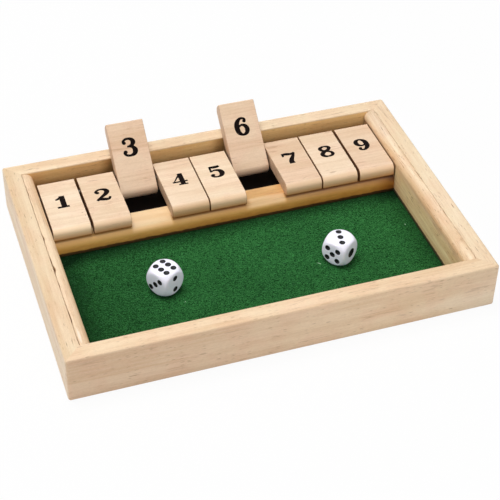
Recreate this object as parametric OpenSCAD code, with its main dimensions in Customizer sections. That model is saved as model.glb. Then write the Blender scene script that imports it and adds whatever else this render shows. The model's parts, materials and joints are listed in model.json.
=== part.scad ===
// Shut the box game: a shallow open wooden tray with nine number tiles on a steel rod.
// Origin: middle of the footprint at the underside. +X is to the player's right,
// +Y runs from the player to the tiles, +Z is up. Millimetres and degrees.

/* [Box] */
// Outside width of the frame, left to right
box_w = 250; // [235:1:300]
// Outside depth of the frame, front to back
box_d = 173; // [165:1:220]
// Height of the frame
box_h = 30; // [29:0.5:36]
// Thickness of the four frame walls
wall_t = 10; // [8:0.5:12]
// Rounding of the outer edges of the frame
edge_r = 1.5; // [0.5:0.1:3]
// Rounding of the inner top edges of the frame
inner_r = 0.8; // [0.4:0.1:1.5]

/* [Base] */
// Thickness of the base panel
panel_t = 5; // [3:0.5:6]
// Width of the rebate under the walls that the base panel sits in
rebate_w = 5; // [4:0.5:6]
// Thickness of the felt
felt_t = 1.5; // [1:0.1:2.5]
// Diameter of the pins that hold the base panel
pin_d = 1.4; // [1:0.1:1.8]
// Diameter of a pin's head
pin_head_d = 3; // [2.4:0.1:3.4]
// Thickness of a pin's head
pin_head_t = 0.8; // [0.5:0.1:1.2]
// Length of a pin
pin_l = 13; // [11:0.5:16]
// Clearance round a pin in its hole
pin_fit = 0.03; // [0.01:0.01:0.1]
// Pins along each of the front and back walls
pins_long = 3; // [2:1:5]
// Pins along each side wall
pins_short = 2; // [2:1:4]
// Distance of the outermost pins from the ends of the panel
pin_inset = 28; // [20:1:40]

/* [Side strips and rail] */
// Thickness of the strips inside the side walls
strip_t = 6.5; // [5:0.5:9]
// Radius of the quarter round along the top of each strip
strip_r = 5; // [2:0.5:5]
// Width of the rail that the tiles lie on
rail_w = 14; // [10:0.5:18]
// Height of the rail above the base panel
rail_h = 12; // [11:0.5:13]
// Rounding of the rail's front top edge
rail_r = 6; // [1:0.5:8]
// How far the rail's front face stands in front of the flat tiles
rail_lip = 0.5; // [0:0.5:6]

/* [Tiles] */
// Length of a tile
tile_l = 46; // [42:0.5:52]
// Thickness of a tile
tile_t = 8; // [6:0.5:9]
// Rounding of the front top and back bottom edges of a tile
tile_r = 4; // [1:0.5:4.5]
// Gap between neighbouring tiles, and between the end tiles and the strips
tile_gap = 0.8; // [0.4:0.1:1.5]
// Space between the back wall and the flat tiles
back_space = 7; // [5:0.5:9]
// Distance from the rod's axis to a tile's back end
pivot_inset = 9; // [7:0.5:10]
// Clearance between a raised tile and the edge of the back wall
lean_gap = 0.2; // [0.1:0.05:0.4]

/* [Rod] */
// Diameter of the pivot rod
rod_d = 3; // [2:0.5:4]
// Radial clearance of the rod in the tiles
rod_fit = 0.08; // [0.04:0.01:0.1]
// Radial clearance of the rod in the strips
rod_seat = 0.03; // [0.01:0.01:0.05]
// Clearance between each end of the rod and the side wall
rod_end_gap = 0.2; // [0.1:0.1:0.5]

/* [Dice] */
// Edge length of a die
die_s = 16; // [15:0.5:17]
// Diameter of the ball shape that rounds off a die's corners, as a multiple of its edge
die_ball = 1.345; // [1.3:0.005:1.4]
// Diameter of a pip
pip_d = 3.1; // [2:0.1:3.3]
// Diameter of the single pip
ace_d = 5.4; // [3:0.1:6]
// Depth of a pip
pip_h = 0.8; // [0.4:0.1:1]
// Half distance between the corner pips of a face
pip_grid = 3.5; // [3:0.1:3.6]
// Left die's place to the right of the middle
die_left_x = -53.5; // [-95:0.5:-12]
// Left die's place behind the middle
die_left_y = -22.5; // [-64:0.5:8]
// Right die's place to the right of the middle
die_right_x = 51.5; // [12:0.5:95]
// Right die's place behind the middle
die_right_y = -28; // [-64:0.5:8]
// Turn of the left die
die_left_turn = 31.4; // [0:0.1:90]
// Turn of the right die
die_right_turn = 36.1; // [0:0.1:90]

/* [Hidden] */
$fn = 96;

tile_count = 9;
raised = [3, 6];                               // tiles that stand up at rest
slid = [0, 0.35, 0.1, 0.3, -0.3, 0, 0.2, -0.2, 0.25];    // slip of each tile along the rod, in gaps
over = 1;                                      // overshoot of cutting shapes
in_w = box_w - 2 * wall_t;                     // between the side walls
in_d = box_d - 2 * wall_t;                     // between the front and back walls
back_y = in_d / 2;                             // inner face of the back wall
strip_x = in_w / 2 - strip_t;                  // inner face of the right strip
tile_w = (2 * strip_x - (tile_count + 1) * tile_gap) / tile_count;
tile_back_y = back_y - back_space;
tile_front_y = tile_back_y - tile_l;
rail_front_y = tile_front_y - rail_lip;
rod_y = tile_back_y - pivot_inset;
rod_z = panel_t + rail_h + tile_t / 2;
panel_w = box_w - 2 * (wall_t - rebate_w);
panel_d = box_d - 2 * (wall_t - rebate_w);
pin_edge = rebate_w / 2;                       // pins stand in the middle of the rebate
two_grid = 1.15 * pip_grid;                    // half distance between the two's pips
six_grid = [0.83, 1.2] * pip_grid;             // half spacings of the six's rows

// A raised tile leans on the rounded inner edge of the back wall. Seen from the rod, the centre
// of that rounding lies at lean_to, and the tile's mid-plane passes it at lean_off.
lean_to = [back_y + inner_r - rod_y, box_h - inner_r - rod_z];
lean_off = tile_t / 2 + inner_r + lean_gap;
lean_angle = acos(lean_off / norm(lean_to)) - atan2(lean_to.y, lean_to.x);
swing_angle = 90 + lean_angle;                 // from flat on the rail to leaning back

wood = "burlywood";
pale = "wheat";

// ---------------------------------------------------------------- shared shapes

// What a rounding of radius r takes off the corner at the origin of the first quadrant
module corner_cut(r)
    difference() {
        translate([-over, -over]) square(r + over);
        translate([r, r]) circle(r);
    }

// Section of a frame wall, from its outer face at x = 0 to its inner face, standing on y = 0
module wall_section()
    difference() {
        square([wall_t, box_h]);
        corner_cut(edge_r);
        translate([0, box_h]) mirror([0, 1]) corner_cut(edge_r);
        translate([wall_t, box_h]) rotate(180) corner_cut(inner_r);
        translate([wall_t - rebate_w, -over]) square([rebate_w + over, panel_t + over]);
    }

// A wall of the given length with mitred ends. Before its turn, its outer face is on the
// plane y = -depth / 2.
module wall(length, depth, turn)
    color(wood)
        difference() {
            rotate(turn) intersection() {
                translate([-length / 2, -depth / 2, 0])
                    rotate([90, 0, 90]) linear_extrude(length) wall_section();
                linear_extrude(box_h) mitred_plan(length, depth);
            }
            pin_cuts();
        }

// Plan of a mitred wall with its two outer corners rounded
module mitred_plan(length, depth)
    difference() {
        translate([0, -depth / 2])
            polygon([
                [-length / 2, 0], [length / 2, 0],
                [length / 2 - wall_t, wall_t], [-length / 2 + wall_t, wall_t],
            ]);
        for (s = [0, 1])
            mirror([s, 0]) translate([-length / 2, -depth / 2]) corner_cut(edge_r);
    }

// Places its children at every pin of the base panel
module at_pins() {
    for (s = [-1, 1], i = [0 : pins_long - 1])
        translate([
            (panel_w - 2 * pin_inset) * (i / (pins_long - 1) - 0.5),
            s * (panel_d / 2 - pin_edge),
        ]) children();
    for (s = [-1, 1], i = [0 : pins_short - 1])
        translate([
            s * (panel_w / 2 - pin_edge),
            (panel_d - 2 * pin_inset) * (i / (pins_short - 1) - 0.5),
        ]) children();
}

// One pin, head down, grown by the given clearance all round
module pin(grow = 0) {
    translate([0, 0, -grow]) cylinder(d = pin_head_d + 2 * grow, h = pin_head_t + 2 * grow);
    cylinder(d = pin_d + 2 * grow, h = pin_l + grow);
}

// Holes for the pins
module pin_cuts() at_pins() pin(pin_fit);

// ---------------------------------------------------------------- frame and base

module front_wall() wall(box_w, box_d, 0);

module right_wall() wall(box_d, box_w, 90);

module back_wall() wall(box_w, box_d, 180);

module left_wall() wall(box_d, box_w, 270);

module base_panel()
    color("dimgray")
        difference() {
            translate([-panel_w / 2, -panel_d / 2, 0]) cube([panel_w, panel_d, panel_t]);
            pin_cuts();
        }

module base_pins() color("silver") at_pins() pin();

module felt_mat()
    color("darkgreen")
        translate([-strip_x, -back_y, panel_t])
            cube([2 * strip_x, rail_front_y + back_y, felt_t]);

// ---------------------------------------------------------------- strips, rail and rod

// The right strip; the left one is its mirror image
module strip()
    difference() {
        translate([strip_x, back_y, panel_t])
            rotate([90, 0, 0])
                linear_extrude(in_d)
                    difference() {
                        square([strip_t, box_h - panel_t]);
                        translate([0, box_h - panel_t]) mirror([0, 1]) corner_cut(strip_r);
                    }
        rod_cut(rod_seat);
    }

module right_strip() color(pale) strip();

module left_strip() color(pale) mirror([1, 0, 0]) strip();

module tile_rail()
    color("peru")
        translate([-strip_x, rail_front_y, panel_t])
            rotate([90, 0, 90])
                linear_extrude(2 * strip_x)
                    difference() {
                        square([rail_w, rail_h]);
                        translate([0, rail_h]) mirror([0, 1]) corner_cut(rail_r);
                    }

// A hole for the rod right across the box
module rod_cut(grow)
    translate([-box_w / 2, rod_y, rod_z])
        rotate([0, 90, 0]) cylinder(d = rod_d + 2 * grow, h = box_w);

module pivot_rod()
    color("silver")
        translate([-in_w / 2 + rod_end_gap, rod_y, rod_z])
            rotate([0, 90, 0]) cylinder(d = rod_d, h = in_w - 2 * rod_end_gap);

// ---------------------------------------------------------------- tiles

// Outline of a tile from the side: x = 0 at the rod, the back end towards +x
module tile_section()
    difference() {
        translate([pivot_inset - tile_l, -tile_t / 2]) square([tile_l, tile_t]);
        translate([pivot_inset - tile_l, tile_t / 2]) mirror([0, 1]) corner_cut(tile_r);
        translate([pivot_inset, -tile_t / 2]) mirror([1, 0]) corner_cut(tile_r);
        circle(d = rod_d + 2 * rod_fit);
    }

// Left face of tile number n
function tile_x(n) = -strip_x + tile_w * (n - 1) + tile_gap * (n + slid[n - 1]);

// Tile number n on the rod, turned up where it stands raised
module tile(n)
    color(pale)
        translate([tile_x(n), rod_y, rod_z])
            rotate([len(search(n, raised)) > 0 ? -swing_angle : 0, 0, 0])
                rotate([90, 0, 90]) linear_extrude(tile_w) tile_section();

// ---------------------------------------------------------------- dice

// Centres of the pips on a face that shows n, in the plane of the face
function pips(n) =
    let (g = pip_grid, sx = six_grid.x, sy = six_grid.y)
    n == 1 ? [[0, 0]] :
    n == 2 ? [[0, two_grid], [0, -two_grid]] :
    n == 3 ? [[-g, -g], [0, 0], [g, g]] :
    n == 4 ? [[-g, -g], [-g, g], [g, -g], [g, g]] :
    n == 5 ? [[-g, -g], [-g, g], [g, -g], [g, g], [0, 0]] :
    [for (x = [-sx, sx], y = [-sy, 0, sy]) [x, y]];

// Spherical pip cuts of a face that shows n, on the plane z = die_s / 2
module pip_cuts(n) {
    r = (n == 1 ? ace_d : pip_d) / 2;
    ball = (r * r + pip_h * pip_h) / (2 * pip_h);
    for (p = pips(n))
        translate([p.x, p.y, die_s / 2 + ball - pip_h]) sphere(ball);
}

// A die on the felt, with the values on its top, left and front faces; opposite faces make 7
module die(at, turn, top, left, front)
    color("white")
        translate([at.x, at.y, panel_t + felt_t + die_s / 2])
            rotate(turn)
                difference() {
                    intersection() {
                        cube(die_s, center = true);
                        sphere(d = die_s * die_ball);
                    }
                    pip_cuts(top);
                    rotate([180, 0, 0]) pip_cuts(7 - top);
                    rotate([90, 0, 0]) pip_cuts(front);
                    rotate([-90, 0, 0]) pip_cuts(7 - front);
                    rotate([90, 0, -90]) pip_cuts(left);
                    rotate([90, 0, 90]) pip_cuts(7 - left);
                }

module die_left() die([die_left_x, die_left_y], die_left_turn, 6, 3, 2);

module die_right() die([die_right_x, die_right_y], die_right_turn, 3, 5, 1);

// ---------------------------------------------------------------- nodes

front_wall();
back_wall();
left_wall();
right_wall();
base_panel();
base_pins();
felt_mat();
left_strip();
right_strip();
tile_rail();
pivot_rod();
for (n = [1 : tile_count]) tile(n);
die_left();
die_right();
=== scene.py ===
"""A shut the box game: a pale wooden tray with a felt floor, nine numbered tiles and two dice."""

import json
import math
import random
from collections import namedtuple
from functools import lru_cache

import bmesh
import bpy
from bpy.props import FloatProperty, FloatVectorProperty, IntProperty, PointerProperty
from mathutils import Matrix, Vector, noise
from mathutils.geometry import delaunay_2d_cdt


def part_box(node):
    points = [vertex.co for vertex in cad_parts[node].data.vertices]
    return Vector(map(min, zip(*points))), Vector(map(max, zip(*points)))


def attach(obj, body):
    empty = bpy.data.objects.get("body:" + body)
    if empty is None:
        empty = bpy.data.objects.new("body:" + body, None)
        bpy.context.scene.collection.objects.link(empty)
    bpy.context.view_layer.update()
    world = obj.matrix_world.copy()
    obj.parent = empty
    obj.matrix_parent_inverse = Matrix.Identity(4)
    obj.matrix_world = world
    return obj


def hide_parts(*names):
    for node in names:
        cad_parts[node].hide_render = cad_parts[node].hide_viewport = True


bl_info = {
    "name": "Shut the Box Game",
    "version": (1, 0, 0),
    "blender": (4, 5, 0),
    "location": "View3D > Sidebar > Shut the Box",
    "description": "Dresses the packed game: wood, felt, printed numbers, dice and a plain studio",
    "category": "Add Mesh",
}

MM = 0.001
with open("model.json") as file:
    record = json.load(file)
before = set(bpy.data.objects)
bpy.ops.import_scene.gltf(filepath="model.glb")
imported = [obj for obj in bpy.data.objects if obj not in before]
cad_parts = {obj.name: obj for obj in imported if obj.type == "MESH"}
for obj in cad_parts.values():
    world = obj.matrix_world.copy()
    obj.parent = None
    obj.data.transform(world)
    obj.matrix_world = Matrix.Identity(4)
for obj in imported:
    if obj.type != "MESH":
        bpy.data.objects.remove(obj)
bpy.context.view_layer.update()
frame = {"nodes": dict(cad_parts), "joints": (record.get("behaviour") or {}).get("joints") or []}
JOINTS = {joint["child"]: joint for joint in frame["joints"]}
TILES = range(1, 10)
RAISED = [n for n in TILES if JOINTS[f"tile_{n}"]["range_deg"][0] < 0]
FLAT_TILE = next(f"tile_{n}" for n in TILES if n not in RAISED)
X, Y, Z = range(3)


def srgb(red, green, blue):
    """Linear colour from 8-bit display values."""
    def channel(value):
        value /= 255
        return value / 12.92 if value <= 0.04045 else ((value + 0.055) / 1.055) ** 2.4
    return tuple(channel(value) for value in (red, green, blue))


def shade(colour, factor, lift=0.0):
    """The colour times a factor, and lifted towards grey."""
    return tuple(channel * factor + lift for channel in colour)


def tinted(colour, factors):
    """The colour times one factor for each channel."""
    return tuple(channel * factor for channel, factor in zip(colour, factors))


# ------------------------------------------------------------------ settings

def length_prop(name, description, millimetres, low=0.0, high=100.0):
    """A length setting; its default and limits are given in millimetres."""
    return FloatProperty(name=name, description=description, default=millimetres * MM,
                         min=low * MM, max=high * MM, precision=5,
                         subtype="DISTANCE", unit="LENGTH")


def colour_prop(name, description, red, green, blue):
    """A colour setting; its default is given in 8-bit display values."""
    return FloatVectorProperty(name=name, description=description, subtype="COLOR", size=3,
                               min=0.0, max=1.0, default=srgb(red, green, blue))


class GameSizes(bpy.types.PropertyGroup):
    """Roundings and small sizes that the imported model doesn't state"""

    arris: length_prop("Arris", "Rounding of the sharp edges of sawn wood", 0.35)
    edge_round: length_prop("Frame edge", "Rounding of the outer edges of the frame", 1.5)
    inner_round: length_prop("Inner edge", "Rounding of the edge that tiles lean on", 0.8)
    joint_round: length_prop("Joint edge", "Rounding of the other inner top edges", 0.3)
    rebate: length_prop("Rebate", "Width of the rebate for the base panel", 5.0)
    strip_round: length_prop("Strip rounding", "Rounding along the top of a side strip", 5.0)
    chip: length_prop("Chip", "Deepest chips along a side strip's top edge", 1.2)
    joint: length_prop("Joint", "Open joint between a side strip and its wall", 0.2)
    rail_round: length_prop("Rail rounding", "Rounding of the rail's front top edge", 6.0)
    tile_round: length_prop("Tile rounding", "Rounding of two long edges of a tile", 4.0)
    tile_ease: length_prop("Tile ease", "Sanded off the sides and the underside of a tile", 0.08)
    rod_hole: length_prop("Rod hole", "Radius of the hole through a tile", 1.58)
    number_height: length_prop("Number height", "Height of a printed number", 11.3)
    number_width: length_prop("Number width", "Width of a number drawn one unit wide", 12.6)
    number_top: length_prop("Number on top", "From a tile's back end to its number", 20.0)
    number_under: length_prop("Number below", "From a tile's front end to its number", 16.1)
    ink: length_prop("Ink", "How far the ink stands on the wood", 0.03)
    die_ball: length_prop("Die ball", "Radius of the ball that trims a die's corners", 10.76)
    pip_radius: length_prop("Pip", "Radius of a pip", 1.78)
    ace_radius: length_prop("Ace", "Radius of the single pip", 3.0)
    pip_depth: length_prop("Pip depth", "Depth of a pip", 0.8)
    pip_grid: length_prop("Pip grid", "Half distance between the corner pips of a face", 3.5)
    fibre: length_prop("Fibre", "Length of a loose felt fibre", 1.6)
    fibres: IntProperty(name="Fibres", description="Number of loose felt fibres",
                        default=2600, min=0, max=20000)


class GameColours(bpy.types.PropertyGroup):
    """Colours of the finishes"""

    frame_pale: colour_prop("Frame, pale", "Pale wood of the frame", 240, 214, 180)
    frame_brown: colour_prop("Frame, brown", "Darker growth in the frame's wood", 226, 193, 154)
    strip_pale: colour_prop("Strip, pale", "Pale wood of the side strips", 250, 228, 196)
    tile_pale: colour_prop("Tile, pale", "Wood of the palest tile", 247, 225, 197)
    tile_rosy: colour_prop("Tile, rosy", "Wood of the rosiest tile", 231, 201, 171)
    tile_growth: colour_prop("Tile growth", "Darker growth of a tile over its pale wood",
                             240, 233, 224)
    rail_pale: colour_prop("Rail, pale", "Golden varnished wood", 243, 206, 152)
    rail_brown: colour_prop("Rail, brown", "Orange patches in the varnish", 212, 162, 94)
    fleck: colour_prop("Fleck", "Short dark pores in the wood", 150, 108, 74)
    # Nearly black: a dark stain, and painted shade for the deep channel under the tiles
    board: colour_prop("Board", "Dark stained base panel", 10, 5, 4)
    felt_dark: colour_prop("Felt, dark", "Felt between the fibres", 4, 32, 11)
    felt_light: colour_prop("Felt, light", "Fibres on the felt", 64, 141, 73)
    fluff: colour_prop("Fluff", "Greyish fluff on the felt", 100, 156, 122)
    lint: colour_prop("Lint", "Specks of lint on the felt", 176, 222, 180)
    ink: colour_prop("Ink", "Printed numbers", 16, 9, 8)
    die: colour_prop("Die", "White of the dice", 244, 240, 254)
    pip: colour_prop("Pip", "Paint in the pips", 8, 9, 16)
    steel: colour_prop("Steel", "Rod and pins", 112, 106, 98)


class StudioSettings(bpy.types.PropertyGroup):
    """Camera and light"""

    azimuth: FloatProperty(name="Azimuth", description="Turn of the camera round the box",
                           default=math.radians(-19.966), subtype="ANGLE", unit="ROTATION")
    elevation: FloatProperty(name="Elevation", description="Height angle of the camera",
                             default=math.radians(40.755), subtype="ANGLE", unit="ROTATION")
    roll: FloatProperty(name="Roll", description="Tilt of the camera about its own line",
                        default=math.radians(1.621), subtype="ANGLE", unit="ROTATION")
    place: FloatVectorProperty(name="Place", description="Place of the camera",
                               default=(-0.2005, -0.588, 0.5409), subtype="TRANSLATION")
    lens: FloatProperty(name="Lens", description="Focal length in millimetres on a 36 mm sensor",
                        default=98.871, min=20, max=300)
    shift: FloatVectorProperty(name="Shift", description="Shift of the lens, right and up",
                               size=2, default=(-0.024, -0.006))
    key: FloatProperty(name="Key", description="Power of the overhead softbox in watts",
                       default=13.9)
    fill: FloatProperty(name="Fill", description="Power of the front softbox in watts",
                        default=5.6)
    side: FloatProperty(name="Side", description="Power of the left softbox in watts", default=5.0)
    sky: FloatProperty(name="Sky", description="Strength of the plain surroundings", default=0.42)


Settings = namedtuple("Settings", "sizes colours studio")


def settings():
    """The game's three groups of settings."""
    scene = bpy.context.scene
    return Settings(scene.shut_box_sizes, scene.shut_box_colours, scene.shut_box_studio)


# ------------------------------------------------------------------ shader language

class Value:
    """A shader socket in an expression; each operator adds a Math node."""

    def __init__(self, nodes, socket):
        self.nodes = nodes
        self.socket = socket

    def _math(self, operation, first, second):
        return self.nodes.node("ShaderNodeMath", {"operation": operation},
                               {0: first, 1: second})

    def __add__(self, other):
        return self._math("ADD", self, other)

    def __sub__(self, other):
        return self._math("SUBTRACT", self, other)

    def __rsub__(self, other):
        return self._math("SUBTRACT", other, self)

    def __mul__(self, other):
        return self._math("MULTIPLY", self, other)

    def __gt__(self, other):
        return self._math("GREATER_THAN", self, other)

    def __lt__(self, other):
        return self._math("LESS_THAN", self, other)

    __radd__ = __add__
    __rmul__ = __mul__


class Nodes:
    """The nodes of a material or of the world."""

    def __init__(self, tree):
        self.tree = tree
        tree.nodes.clear()

    def node(self, kind, options=None, inputs=None, output=0):
        """Adds a node: options are set first, then the values or links of its sockets."""
        made = self.tree.nodes.new(kind)
        for key, value in (options or {}).items():
            setattr(made, key, value)
        for key, value in (inputs or {}).items():
            socket = made.inputs[key]
            if isinstance(value, Value):
                self.tree.links.new(value.socket, socket)
            else:
                socket.default_value = (*value, 1.0) if socket.type == "RGBA" else value
        return Value(self, made.outputs[output]) if made.outputs else None


class Shader(Nodes):
    """A new material and the tools to write its nodes."""

    def __init__(self, name):
        self.material = bpy.data.materials.new(name)
        self.material.use_nodes = True
        super().__init__(self.material.node_tree)

    def mix(self, factor, first, second):
        """Colour mix."""
        return self.node("ShaderNodeMix", {"data_type": "RGBA"},
                         {"Factor": factor, 6: first, 7: second}, 2)

    def smooth(self, value, low, high):
        """0 below low, 1 above high, smooth between; low may be the larger one."""
        return self.node("ShaderNodeMapRange", {"interpolation_type": "SMOOTHSTEP"},
                         {"Value": value, "From Min": low, "From Max": high})

    def point(self):
        """Object coordinates, in metres."""
        return self.node("ShaderNodeTexCoord", output="Object")

    def along(self, axis):
        """The object coordinate on one axis, in metres."""
        return self.node("ShaderNodeSeparateXYZ", {}, {"Vector": self.point()}, axis)

    def ramp(self, axis, low, high):
        """0 at one place on an axis, 1 at another, smooth between; both in millimetres."""
        return self.smooth(self.along(axis), low * MM, high * MM)

    def place(self, scale, seed=0.0, turn=(0.0, 0.0, 0.0)):
        """Object coordinates divided by the given lengths in millimetres."""
        return self.node("ShaderNodeMapping", {}, {
            "Vector": self.point(),
            "Location": (seed * 7.31, seed * 3.17, seed * 5.43),
            "Rotation": turn,
            "Scale": [1 / (length * MM) for length in scale],
        })

    def noise(self, scale, seed=0.0, detail=2.0, rough=0.5, turn=(0.0, 0.0, 0.0), warp=0.0):
        """Noise whose lumps have the given lengths in millimetres."""
        return self.node("ShaderNodeTexNoise", {}, {
            "Vector": self.place(scale, seed, turn), "Scale": 1.0, "Detail": detail,
            "Roughness": rough, "Distortion": warp,
        })

    def cells(self, scale, seed=0.0, turn=(0.0, 0.0, 0.0)):
        """Distance to the nearest cell point, and that cell's own random number."""
        inputs = {"Vector": self.place(scale, seed, turn), "Scale": 1.0}
        distance = self.node("ShaderNodeTexVoronoi", {}, inputs, "Distance")
        tint = self.node("ShaderNodeTexVoronoi", {}, inputs, "Color")
        return distance, self.node("ShaderNodeSeparateColor", {}, {"Color": tint}, 0)

    def spot(self, centre, reach):
        """1 in the middle of an oval mark, 0 outside it; both in millimetres."""
        point = self.node("ShaderNodeVectorMath", {"operation": "SUBTRACT"}, {
            0: self.point(), 1: [length * MM for length in centre]})
        scaled = self.node("ShaderNodeVectorMath", {"operation": "MULTIPLY"}, {
            0: point, 1: [1 / (length * MM) for length in reach]})
        far = self.node("ShaderNodeVectorMath", {"operation": "LENGTH"}, {0: scaled}, "Value")
        rough = self.noise((1.2, 0.5, 0.5), 9.0) * 0.8
        return self.smooth(far + rough, 1.3, 0.7)

    def bump(self, height, depth, strength=1.0):
        """Normal of a relief whose height runs from 0 to a depth in millimetres."""
        return self.node("ShaderNodeBump", {}, {
            "Height": height, "Distance": depth * MM, "Strength": strength,
        })

    def surface(self, inputs):
        """Ends the material in a Principled shader with these inputs."""
        shader = self.node("ShaderNodeBsdfPrincipled", {}, inputs)
        self.node("ShaderNodeOutputMaterial", {}, {"Surface": shader})
        return self.material


# ------------------------------------------------------------------ wood

# Factors of painted shade on the tray's inner faces and in a strip's gaps next to the tiles, of
# tile sides browned by the saw and darkened by painted shade, of a painted contact shadow on the
# rail's edge under the tiles' fronts, and of a painted shadow along the bottom of a tile's front
INNER_SHADE = (1.02, 0.82, 0.5)
STRIP_GAP_SHADE = (0.4, 0.27, 0.18)
SAWN_AND_SHADED = (0.3, 0.2, 0.13)
TILE_CONTACT_SHADOW = (0.42, 0.33, 0.14)
LIP_SHADOW = (0.45, 0.3, 0.12)
# Colours of the dark line where wood meets the felt, dirt with painted shade, and of a fresh split
DIRT_AND_SHADE = (0.012, 0.008, 0.004)
SPLIT = (0.98, 0.88, 0.74)
# Length along the grain and across it of each feature of the wood, in millimetres
FIGURE = {"bands": (90, 8), "lines": (30, 1.1), "mottle": (9, 4), "pores": (4.2, 0.7),
          "streaks": (14, 0.8), "patches": (16, 16), "ridges": (60, 3.5), "scratches": (1.3, 0.6)}
# Marks in the wood of each piece: place, size along each axis and strength, in millimetres
MARKS = {
    "front_wall": [((-89.2, -86.5, 8.7), (4.5, 1, 0.5), 0.55),
                   ((-50.3, -86.5, 13.2), (3.5, 1, 1.1), 0.4),
                   ((-69, -86.5, 23.5), (3, 1, 0.35), 0.45),
                   ((22, -86.5, 16), (2.2, 1, 0.45), 0.5)],
    "right_strip": [((108.8, -25, 26.5), (0.5, 5, 0.5), 0.4),
                    ((108.6, -32, 25), (0.5, 4, 0.4), 0.4),
                    ((109.4, -37, 27.8), (0.7, 4.5, 0.5), 0.35),
                    ((108.5, -44, 24), (0.5, 7, 0.4), 0.35),
                    ((108.8, -51, 26.3), (0.5, 5, 0.4), 0.35),
                    ((111, -29, 30), (0.5, 4, 1), 0.3)],
    "left_strip": [((-110, -20, 30), (0.5, 4, 3), 0.35), ((-112, -47, 30), (0.3, 13, 1), 0.5)],
    "tile_1": [((-87.1, 36.0, 25), (0.9, 0.5, 1), 0.6), ((-86, 33, 25), (0.4, 0.9, 1), 0.5)],
    "tile_8": [((68.4, 28.3, 25), (3.2, 0.9, 2), 0.55), ((66, 31, 25), (2, 0.5, 1), 0.3)],
}


def grain(axis, along, across):
    """Lengths of a wood feature along the grain's axis and across it."""
    lengths = [across, across, across]
    lengths[axis] = along
    return lengths


class Wood(Shader):
    """Close-grained pale wood: growth bands, cloudy tints, scattered pores, hairlines."""

    def __init__(self, name, axis, pale, brown, seed, tone=0.0, flecks=1.0, wave=0.0):
        """tone favours the pale growth; flecks and wave are the strength of marks and waves."""
        super().__init__(name)
        self.fleck = settings().colours.fleck
        tilt = (0.0, 0.0, 0.04 * math.sin(seed * 2.3))

        def sized(feature):
            """Lengths and noise seed of one feature."""
            return grain(axis, *FIGURE[feature]), seed + list(FIGURE).index(feature)

        bands = self.noise(*sized("bands"), 3.0, 0.55, tilt, 0.4 + 2 * wave)
        lines = self.noise(*sized("lines"), 3.0, 0.6, tilt, 1.5 * wave)
        mottle = self.noise(*sized("mottle"), 3.0, 0.65)
        patch = self.noise(*sized("patches"))
        pore, pick = self.cells(*sized("pores"), tilt)
        pores = self.smooth(pore, 0.42, 0.15) * (pick > 0.8) * self.smooth(mottle, 0.42, 0.6)
        streak = self.smooth(self.noise(*sized("streaks"), 1.5, 0.5, tilt), 0.70, 0.78)
        ridge = self.noise(*sized("ridges"), 1.0, 0.5, tilt, 0.6 + 2 * wave) - 0.5
        hair = self.smooth(ridge * ridge, 0.00035, 0.0) * self.smooth(patch, 0.5, 0.62)
        scratches = self.noise(*sized("scratches"), 2.0, 0.7)
        growth = self.smooth(bands * 0.65 + lines * 0.35, 0.36 - tone, 0.64 - tone)
        self.colour = self.mix(growth, brown, pale)
        self.tinge(self.smooth(patch, 0.42, 0.62) * 0.6, (1.0, 0.93, 0.93))
        self.stain(self.smooth(mottle, 0.4, 0.75) * 0.3, brown)
        self.stain(pores * (0.34 * flecks), self.fleck)
        self.stain(streak * (0.55 * flecks), self.fleck)
        self.stain(hair * (0.25 + 0.5 * wave), self.fleck)
        self.tinge(self.smooth(scratches, 0.35, 0.65), (0.945, 0.935, 0.925))
        self.height = lines * 0.5 + mottle * 0.3 - pores * 0.5 - streak * 0.5 - hair * 0.3
        self.roughness = 0.58 - 0.1 * lines + 0.15 * pores

    def stain(self, mask, colour):
        """Lays a colour over the wood where the mask is 1."""
        self.colour = self.mix(mask, self.colour, colour)

    def tinge(self, mask, factors):
        """Multiplies the wood's colour by the factors where the mask is 1."""
        self.colour = self.node(
            "ShaderNodeMix", {"data_type": "RGBA", "blend_type": "MULTIPLY"},
            {"Factor": mask, 6: self.colour, 7: factors}, 2)

    def marks(self, node):
        """Small dark marks of one piece."""
        for centre, reach, weight in MARKS.get(node, ()):
            self.stain(self.spot(centre, reach) * weight, self.fleck)

    def foot_line(self, height):
        """1 in the dark line of dirt and painted shade where wood meets the felt, up to a height
        in millimetres.
        """
        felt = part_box("felt_mat")[1].z
        height = height * MM
        rough = (self.noise((5, 2, 2), 8.0) - 0.5) * height
        return self.smooth(self.along(Z) + rough, felt + height, felt + 0.3 * height)

    def inside(self, depth):
        """1 on the tray's inner faces, from a depth in millimetres below its top."""
        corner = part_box("right_strip")[1]
        reach = corner * 1.002
        x, y = self.along(X), self.along(Y)
        within = (x * x < reach.x ** 2) * (y * y < reach.y ** 2)
        top = corner.z / MM
        return within * self.ramp(Z, top - 0.4, top - depth)

    def finish(self, gloss=0.0):
        """The finished material; gloss 0 is bare wood and 1 is thick varnish."""
        return self.surface({
            "Base Color": self.colour,
            "Roughness": self.roughness - gloss * 0.25,
            "Coat Weight": 0.06 + gloss * 0.35,
            "Coat Roughness": 0.35 - gloss * 0.15,
            "Normal": self.bump(self.height, 0.05, 0.5),
        })


# Strength and factors of the tint of each whole wall
WALL_TINTS = {"left_wall": (0.8, (0.94, 0.97, 0.97)), "right_wall": (1.0, (1.04, 1.11, 1.16)),
              "back_wall": (1.0, (1.02, 1.055, 1.075))}
# How far in from its outer face a wall takes the tints of its outside, in millimetres
SKIN = 0.5


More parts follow.
